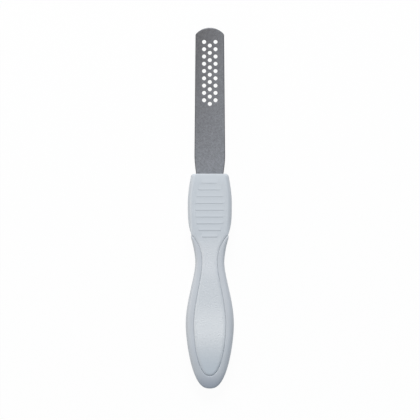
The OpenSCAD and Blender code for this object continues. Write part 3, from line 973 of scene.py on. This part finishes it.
def sheet_lines(y, inset):
    """One row of x values for each y: even lines over the three columns of holes, and beside them lines
    that crowd towards the edge."""
    half = (strip_half(y) - inset)[:, None]
    scale = np.minimum(1, half / (BLADE_NECK_W / 2 - inset))
    even = np.arange(-1.5 * CELL, 1.5 * CELL + 1) * HOLE_GAP / CELL * scale
    outer = mix(even[:, -1:], half, OUTER_SHARES)
    return np.hstack([-outer[:, ::-1], even, outer])


def sheet_grid(low_rows, inset):
    """Rows of points: blended from the tip's outline to a level line, evenly past the holes, and then the
    given lower rows."""
    top = TIP_Y - HOLE_START + HOLE_PITCH / 2
    past_holes = top - np.arange((HOLE_ROWS + 0.5) * CELL + 1) * HOLE_PITCH / CELL
    y = np.concatenate([past_holes, low_rows[low_rows < past_holes[-1] - HOLE_PITCH / CELL / 2]])
    x = sheet_lines(y, inset)
    tip_x = sheet_lines(np.array([CORNER_Y]), inset)
    tip_y = strip_end(tip_x, inset)
    share = TIP_SHARES[::-1, None]
    tip = np.stack([mix(x[:1], tip_x, share), mix(top, tip_y, share)], axis=-1)
    body = np.stack([x, y[:, None] + 0 * x], axis=-1)
    return np.concatenate([tip, body])


# Rings this far out from a hole's edge shape its rounded lip
RING_GAPS = np.array([0, 0.03, 0.09])


def perforated_sheet(low_rows, inset, hole_r):
    """Points and faces of the sheet. The grid's faces are left out over the cell round each hole, and rings
    from the hole's edge to the cell's own edge points take their place."""
    grid = sheet_grid(low_rows, inset)
    index = point_numbers(grid)
    faces = grid_faces(index)
    middle = grid.reshape(-1, 2)[faces].mean(axis=1)
    off = np.abs(middle[:, None] - HOLES)
    kept = ~((off[..., 0] < HOLE_GAP / 2) & (off[..., 1] < HOLE_PITCH / 2)).any(axis=1)

    rows_down = np.round((HOLES[:, 1].max() - HOLES[:, 1]) / HOLE_PITCH * CELL).astype(int)
    columns_across = np.round((HOLES[:, 0] / HOLE_GAP + 1) * CELL).astype(int)
    first_row = len(TIP_SHARES) + rows_down
    first_column = len(OUTER_SHARES) + columns_across
    run = np.arange(CELL)
    walk_rows = np.concatenate([CELL - run, 0 * run, run, 0 * run + CELL])
    walk_columns = np.concatenate([0 * run + CELL, CELL - run, 0 * run, run])
    cell_edge = index[first_row[:, None] + walk_rows, first_column[:, None] + walk_columns]

    # The walk round a cell starts at its lower right corner and goes up, and so do the spokes
    edge = grid.reshape(-1, 2)[cell_edge]
    angle = np.radians(-45 + np.arange(4 * CELL) * 360 / (4 * CELL))
    spoke = np.stack([np.cos(angle), np.sin(angle)], axis=-1)
    rings = HOLES[:, None, None] + (hole_r + RING_GAPS)[:, None, None] * spoke
    halfway = (rings[:, -1] + edge) / 2
    rings = np.concatenate([rings, halfway[:, None]], axis=1)
    ring_index = index.size + np.arange(rings[..., 0].size).reshape(rings.shape[:3])
    ring_index = np.concatenate([ring_index, cell_edge[:, None]], axis=1)
    ring_faces = np.concatenate([grid_faces(cell, wrap=True) for cell in ring_index])
    points = np.concatenate([grid.reshape(-1, 2), rings.reshape(-1, 2)])
    return points, np.concatenate([faces[kept], ring_faces])


# %% From a flat sheet to a piece with thickness and rounded edges
def thick_sheet(sheet, low, high, inset, hole_r, edge_r, lip_r, rounded_below):
    """Copies the sheet at two heights, lowers the upper copy along quarter circles towards the outline and
    the holes, raises the lower one by a share of that, and walls up every open edge."""
    points, faces = sheet
    x, y = points.T
    drop = round_in(edge_r, edge_distance(x, y, inset)) + round_in(lip_r, hole_distance(x, y, hole_r))
    top = np.column_stack([x, y, high - drop])
    bottom = np.column_stack([x, y, low + drop * rounded_below])
    sides = np.sort(np.stack([faces, np.roll(faces, -1, axis=1)], axis=-1).reshape(-1, 2), axis=1)
    edges, counts = np.unique(sides, axis=0, return_counts=True)
    open_edges = edges[counts == 1]
    walls = np.column_stack([open_edges, open_edges[:, ::-1] + len(points)])
    return np.concatenate([top, bottom]), np.concatenate([faces, faces[:, ::-1] + len(points), walls])


# %% The steel strip with its tang
EDGE_R = 0.35
LIP_R = 0.08
# The rows up to here from the mouth pass no hole
PLAIN_LEN = 36
TAIL_CENTRE = MOUTH_Y - WAIST_AT - TAIL_END + TAIL_HALF
ROUNDING = 1e-6


def strip_sheet():
    """The full strip. Its tail ends in a half round, so the last row bends to it."""
    reach_rows = np.linspace(MOUTH_Y + PLAIN_LEN, MOUTH_Y, 60)
    tang_rows = np.linspace(MOUTH_Y, TAIL_CENTRE, 50)[1:]
    points, faces = perforated_sheet(np.concatenate([reach_rows, tang_rows]), 0, HOLE_D / 2)
    x, y = points.T
    half_round = TAIL_CENTRE - np.sqrt(np.clip(TAIL_HALF**2 - x**2, 0, None))
    return np.column_stack([x, np.where(y <= TAIL_CENTRE + ROUNDING, half_round, y)]), faces


points, faces = thick_sheet(
    strip_sheet(), low=-BLADE_T / 2, high=BLADE_T / 2, inset=0, hole_r=HOLE_D / 2,
    edge_r=EDGE_R, lip_r=LIP_R, rounded_below=1)
make_piece("steel_strip", points + [0, 0, MID_Z], faces, STEEL_FINISH, "blade")

# %% The bond of each coat
# The coat stops short of the strip's edge and of the holes, and goes into the mouth
GRIT_MARGIN = 0.4
GRIT_RELIEF = 0.1
GRIT_TUCK = 2.5
COAT_HOLE_R = HOLE_D / 2 + GRIT_RELIEF
# The bond is thinner than the coat, because the grains stand out of it
BOND_T = 0.6 * COAT_T
BOND_R = COAT_T / 2
coat_rows = np.linspace(MOUTH_Y + PLAIN_LEN, MOUTH_Y - GRIT_TUCK, 76)
coat_sheet = perforated_sheet(coat_rows, GRIT_MARGIN, COAT_HOLE_R)


def on_strip(points, side):
    """Sets points on a face of the strip. side is 1 for the front and -1 for the back."""
    return points * [1, 1, side] + [0, 0, MID_Z + side * BLADE_T / 2]


def make_bond(name, side, material, replaced):
    """The nickel between the grains, a thin sheet on one face of the strip with its upper edges rounded."""
    points, faces = thick_sheet(
        coat_sheet, low=0, high=BOND_T, inset=GRIT_MARGIN, hole_r=COAT_HOLE_R,
        edge_r=BOND_R, lip_r=BOND_R, rounded_below=0)
    return make_piece(name, on_strip(points, side), faces, material, replaced)


make_bond("coarse_nickel_bond", 1, COARSE_BOND, "coarse_face")
make_bond("fine_nickel_bond", -1, FINE_BOND, "fine_face")

# %% [markdown]
# ## The grains
#
# Real coarse grit is about 0.2 mm across. The coarse grains here are about a third of a millimetre
# apart and the fine ones a little closer, as coarse as they need to be to show. A noise pattern
# could stand for them, but only real edges glint one by one. Each grain is an eight-sided crystal
# with its corners pushed in or out by chance, turned at random, and sunk in the bond by half or a
# bit more.

# %% Scattering crystals over a face
# Rows of a grid of even triangles lie this share of the spacing apart
ROW_SHARE = 0.866
OFF_EDGE = 0.1
OFF_HOLE = 0.08
# Shares of the grain size: how far a corner reaches, how big a grain is, and how deep its middle sinks
CORNER_REACH = (0.7, 1.2)
GRAIN_SPREAD = (0.75, 1.15)
GRAIN_SINK = (0.0, 0.35)
CORNERS = np.array([[1, 0, 0], [0, 1, 0], [-1, 0, 0], [0, -1, 0], [0, 0, 1], [0, 0, -1]], float)
CRYSTAL_FACES = np.array([
    [0, 1, 4], [1, 2, 4], [2, 3, 4], [3, 0, 4], [1, 0, 5], [2, 1, 5], [3, 2, 5], [0, 3, 5]])


def random_turns(dice, count):
    """One random rotation matrix for each crystal, from random unit quaternions."""
    w, x, y, z = dice.normal(size=(4, count))
    size = np.sqrt(w * w + x * x + y * y + z * z)
    w, x, y, z = w / size, x / size, y / size, z / size
    rows = [[1 - 2 * (y * y + z * z), 2 * (x * y - w * z), 2 * (x * z + w * y)],
            [2 * (x * y + w * z), 1 - 2 * (x * x + z * z), 2 * (y * z - w * x)],
            [2 * (x * z - w * y), 2 * (y * z + w * x), 1 - 2 * (x * x + y * y)]]
    return np.moveaxis(np.array(rows), -1, 0)


def grain_places(dice, spacing):
    """A staggered grid over the coat, shaken by a third of its spacing, without what lies off the coat."""
    across = np.arange(-BLADE_W / 2, BLADE_W / 2, spacing)
    along = np.arange(MOUTH_Y - GRIT_TUCK, TIP_Y, spacing * ROW_SHARE)
    x, y = np.meshgrid(across, along)
    x = x + spacing / 2 * (np.arange(len(along)) % 2)[:, None]
    shake = spacing / 3
    x = (x + dice.uniform(-shake, shake, x.shape)).ravel()
    y = (y + dice.uniform(-shake, shake, y.shape)).ravel()
    inside = edge_distance(x, y, GRIT_MARGIN) > OFF_EDGE
    clear = hole_distance(x, y, COAT_HOLE_R) > OFF_HOLE
    on_coat = inside & clear & (y > MOUTH_Y - GRIT_TUCK + spacing)
    return x[on_coat], y[on_coat]


def make_grains(name, side, spacing, size, seed, material, slot):
    """All the crystals of one face as one mesh: corners pushed in or out, each crystal scaled, turned and
    set down at its place. The seed fixes the chance."""
    dice = np.random.default_rng(seed)
    x, y = grain_places(dice, spacing)
    count = len(x)
    reach = dice.uniform(*CORNER_REACH, (count, len(CORNERS), 1)) * size
    shape = CORNERS * reach * dice.uniform(*GRAIN_SPREAD, (count, 1, 1))
    shape = np.einsum("nij,nkj->nki", random_turns(dice, count), shape)
    height = BOND_T - size * dice.uniform(*GRAIN_SINK, count)
    shape = shape + np.stack([x, y, height], axis=-1)[:, None]
    faces = (np.arange(count)[:, None, None] * len(CORNERS) + CRYSTAL_FACES).reshape(-1, 3)
    piece = make_piece(name, on_strip(shape.reshape(-1, 3), side), faces, material, None)
    piece.data.shade_flat()
    return piece


# %% The grains of both faces
COARSE = {"spacing": 0.34, "size": 0.15, "seed": 11}
FINE = {"spacing": 0.27, "size": 0.11, "seed": 12}
make_grains("coarse_grains", 1, **COARSE, material=COARSE_GRAIN, slot="coarse_grit")
make_grains("fine_grains", -1, **FINE, material=FINE_GRAIN, slot="fine_grit")

# %% [markdown]
# ## Floor, light and camera
#
# The file lies on a white table. A large soft lamp past the tip picks out the ribs, because each
# rib drops away from it, and a weak warm one on the left lightens that side. The table and the sky
# look white to the camera and in reflections, and the sky's own light is a dim blue.

# %% Floor
WHITE = (1.0, 1.0, 1.0, 1.0)
FLOOR_SIZE = 4.0
SHOWN_WHITE = 0.96


def seen_directly(tree):
    """1 for a ray that shows the surroundings: to the camera, in a reflection or through glass."""
    path = add_node(tree, "ShaderNodeLightPath").outputs
    seen = path["Is Camera Ray"]
    for ray in ("Is Glossy Ray", "Is Transmission Ray"):
        seen = add_node(tree, "ShaderNodeMath", {0: seen, 1: path[ray]}, operation="MAXIMUM").outputs[0]
    return seen


def white_table():
    """Matt white that shows nearly white to the camera and keeps a trace of the object's shadow."""
    material, tree, _ = new_material("white_table")
    share = add_node(tree, "ShaderNodeMath", {0: seen_directly(tree), 1: SHOWN_WHITE}, operation="MULTIPLY")
    matt = add_node(tree, "ShaderNodeBsdfDiffuse", {"Color": colour("#E8E8E8")})
    glow = add_node(tree, "ShaderNodeEmission", {"Color": WHITE, "Strength": 1.0})
    shader = add_node(tree, "ShaderNodeMixShader", {
        0: share.outputs[0], 1: matt.outputs[0], 2: glow.outputs[0]})
    return finish_material(material, shader)


half_floor = FLOOR_SIZE / 2
mesh = bpy.data.meshes.new("table")
mesh.from_pydata([(-half_floor, -half_floor, 0), (half_floor, -half_floor, 0),
                  (half_floor, half_floor, 0), (-half_floor, half_floor, 0)], [], [(0, 1, 2, 3)])
mesh.materials.append(white_table())
table = bpy.data.objects.new("table", mesh)
bpy.context.scene.collection.objects.link(table)

# %% Sky
SKY = 0.365
SKY_TINT = (0.85, 0.94, 1.0, 1.0)

world = bpy.data.worlds.new("white_room")
bpy.context.scene.world = world
world.use_nodes = True
world.node_tree.nodes.clear()
shown = seen_directly(world.node_tree)
sky_strength = add_node(world.node_tree, "ShaderNodeMapRange", {
    "Value": shown, "To Min": SKY, "To Max": 1.0})
sky_tint = add_node(world.node_tree, "ShaderNodeMix", {
    FACTOR: shown, COLOUR_A: SKY_TINT, COLOUR_B: WHITE}, data_type="RGBA")
sky = add_node(world.node_tree, "ShaderNodeBackground", {
    "Color": sky_tint.outputs[MIXED], "Strength": sky_strength.outputs["Result"]})
add_node(world.node_tree, "ShaderNodeOutputWorld", {"Surface": sky.outputs[0]})

# %% Lamps
def soft_lamp(name, place, size, watts, tint):
    """A square area lamp at a place in metres, tilted and turned to face the object at the origin."""
    data = bpy.data.lights.new(name, "AREA")
    data.size = size
    data.energy = watts
    data.color = tint
    lamp = bpy.data.objects.new(name, data)
    bpy.context.scene.collection.objects.link(lamp)
    lamp.location = place
    x, y, z = place
    lamp.rotation_euler = (np.arctan2(np.hypot(x, y), z), 0, np.arctan2(x, -y))
    print(f"{name}: {watts} W")


soft_lamp("key_lamp", place=(-0.02, 0.82, 0.78), size=0.4, watts=11.2, tint=(1.0, 1.0, 1.0))
soft_lamp("side_lamp", place=(-0.9, -0.05, 0.4), size=0.3, watts=1.75, tint=(1.0, 0.89, 0.78))

# %% Camera
# The object's middle column, tip and butt in the photograph, and the scale that gives the real size
PHOTO_PIXELS = 420
MM_PER_PIXEL = 0.56
PHOTO_CENTRE_X = 209.8
PHOTO_TOP_Y = 27.8
PHOTO_BUTT_Y = 388.5
CAMERA_HEIGHT = 0.9

data = bpy.data.cameras.new("camera")
camera = bpy.data.objects.new("camera", data)
bpy.context.scene.collection.objects.link(camera)
bpy.context.scene.camera = camera
middle = PHOTO_PIXELS / 2
camera.location = (
    (middle - PHOTO_CENTRE_X) * MM_PER_PIXEL * MM,
    ((PHOTO_TOP_Y + PHOTO_BUTT_Y) / 2 - middle) * MM_PER_PIXEL * MM,
    CAMERA_HEIGHT)
data.lens = data.sensor_width * (CAMERA_HEIGHT - MID_Z * MM) / (PHOTO_PIXELS * MM_PER_PIXEL * MM)
print("lens", round(data.lens, 1), "mm")

# %% Colour handling, and the last line
bpy.context.scene.view_settings.view_transform = "Standard"
